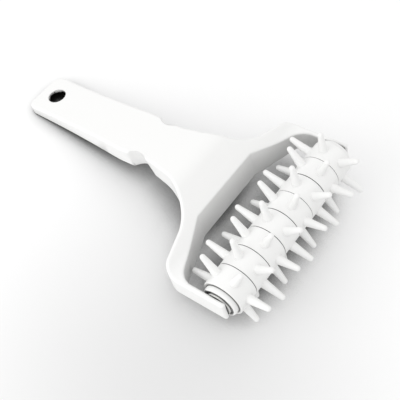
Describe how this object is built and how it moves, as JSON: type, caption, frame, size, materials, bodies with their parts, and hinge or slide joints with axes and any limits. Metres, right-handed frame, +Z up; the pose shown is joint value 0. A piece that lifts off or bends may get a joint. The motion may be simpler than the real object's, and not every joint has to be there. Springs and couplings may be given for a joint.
{
  "type": "dough docker",
  "caption": "Hand roller for pricking dough: a white plastic fork handle with a hanging hole, and a free-spinning roller of blunt-spiked rings on a steel axle.",
  "frame": {"origin": "on the table, under the middle of the object's outline, as it lies on its lowest spike and the edge of the grip's end", "axes": "+X along the roller's axle, +Y from the grip to the roller, +Z up"},
  "size_m": [0.125, 0.2098, 0.052],
  "materials": {
    "handle_plastic": "satin",
    "roller_plastic": "satin",
    "washer_nylon": "matte",
    "axle_steel": "turned"
  },
  "bodies": {
    "handle": {"handle": "handle_plastic", "axle": "axle_steel", "washer_left": "washer_nylon", "washer_right": "washer_nylon"},
    "roller": {"roller_core": "roller_plastic", "spiked_ring_1": "roller_plastic", "spiked_ring_2": "roller_plastic", "spiked_ring_3": "roller_plastic", "spiked_ring_4": "roller_plastic", "spiked_ring_5": "roller_plastic", "spiked_ring_6": "roller_plastic", "spiked_ring_7": "roller_plastic", "spiked_ring_8": "roller_plastic", "end_cap_left": "roller_plastic", "end_cap_right": "roller_plastic"}
  },
  "joints": [
    {"name": "roller_spin", "type": "hinge", "parent": "handle", "child": "roller", "pos_m": [0, 0.07889, 0.02598], "axis": [1, 0, 0], "continuous": true}
  ]
}
